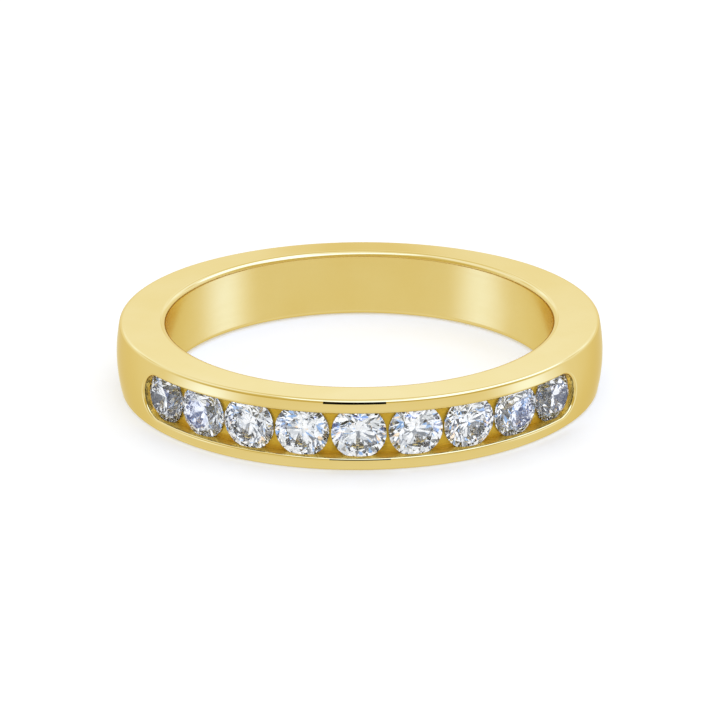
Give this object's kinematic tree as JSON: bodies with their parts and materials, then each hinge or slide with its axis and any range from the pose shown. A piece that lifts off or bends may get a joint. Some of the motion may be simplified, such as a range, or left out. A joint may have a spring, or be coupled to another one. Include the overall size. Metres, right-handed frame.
{
  "type": "band ring",
  "caption": "Polished yellow gold band ring with a row of round clear stones set in a channel across its front, lying on its side.",
  "frame": {"origin": "centre of the finger bore, half way across the band", "axes": "+Z along the finger bore, -Y out through the middle stone, +X along the row of stones; the band lies on its lower side face"},
  "size_m": [0.0214, 0.0205, 0.0032],
  "materials": {
    "gold": "polished yellow gold",
    "stone": "clear cut stone"
  },
  "bodies": {
    "root": {"band": "gold", "stone_1": "stone", "stone_2": "stone", "stone_3": "stone", "stone_4": "stone", "stone_5": "stone", "stone_6": "stone", "stone_7": "stone", "stone_8": "stone", "stone_9": "stone"}
  },
  "joints": []
}
